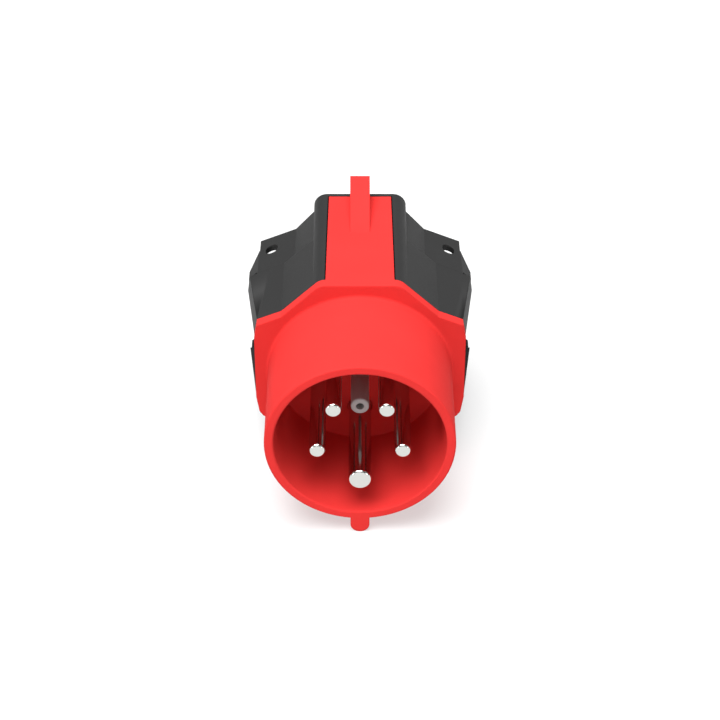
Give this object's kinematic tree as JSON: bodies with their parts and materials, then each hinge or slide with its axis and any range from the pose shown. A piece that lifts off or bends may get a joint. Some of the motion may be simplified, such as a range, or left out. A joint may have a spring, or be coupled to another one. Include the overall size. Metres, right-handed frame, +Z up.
{
  "type": "industrial pin and sleeve plug",
  "caption": "Industrial pin and sleeve plug with a round red shroud, keyed contacts, a red lid catch and a dark winged rear housing with a cable gland.",
  "frame": {"origin": "centre of the shroud's rim, on the plug's axis", "axes": "-Y points out of the shroud along the contacts, +Y points to the cable, +Z is up with the earth pin and the key at the bottom"},
  "size_m": [0.0714, 0.1128, 0.0758],
  "materials": {
    "red_housing": "satin moulded polyamide, signal red",
    "dark_housing": "satin moulded polyamide, dark grey",
    "carrier": "moulded grey thermoset",
    "contacts": "nickel plated brass, polished",
    "screws": "zinc plated steel",
    "gland": "moulded black polyamide",
    "slip_plastic": "natural acetal",
    "rubber": "soft black rubber"
  },
  "bodies": {
    "housing": {"front_housing": "red_housing", "rear_housing": "dark_housing", "housing_gasket": "rubber", "contact_carrier": "carrier", "terminal_block": "carrier", "phase_pin_1": "contacts", "phase_pin_2": "contacts", "phase_pin_3": "contacts", "neutral_pin": "contacts", "earth_pin": "contacts", "terminal_screws": "screws", "earth_terminal_screws": "screws", "centre_screw": "screws", "carrier_screws": "screws", "housing_screws": "screws", "gland_body": "gland", "gland_gasket": "rubber", "gland_locknut": "gland", "gland_seal": "rubber"},
    "slip_ring": {"slip_ring": "slip_plastic"},
    "gland_nut": {"gland_nut": "gland"}
  },
  "joints": [
    {"name": "gland_travel", "type": "slide", "parent": "housing", "child": "slip_ring", "axis": [0, 1, 0], "range_m": [0, 0.0061]},
    {"name": "gland_nut_turn", "type": "hinge", "parent": "slip_ring", "child": "gland_nut", "pos_m": [0, 0.1023, 0], "axis": [0, 1, 0], "range_deg": [0, 1440]}
  ],
  "couplings": [
    {"joint": "gland_travel", "follows": "gland_nut_turn", "m_per_rad": 0.00023873}
  ]
}
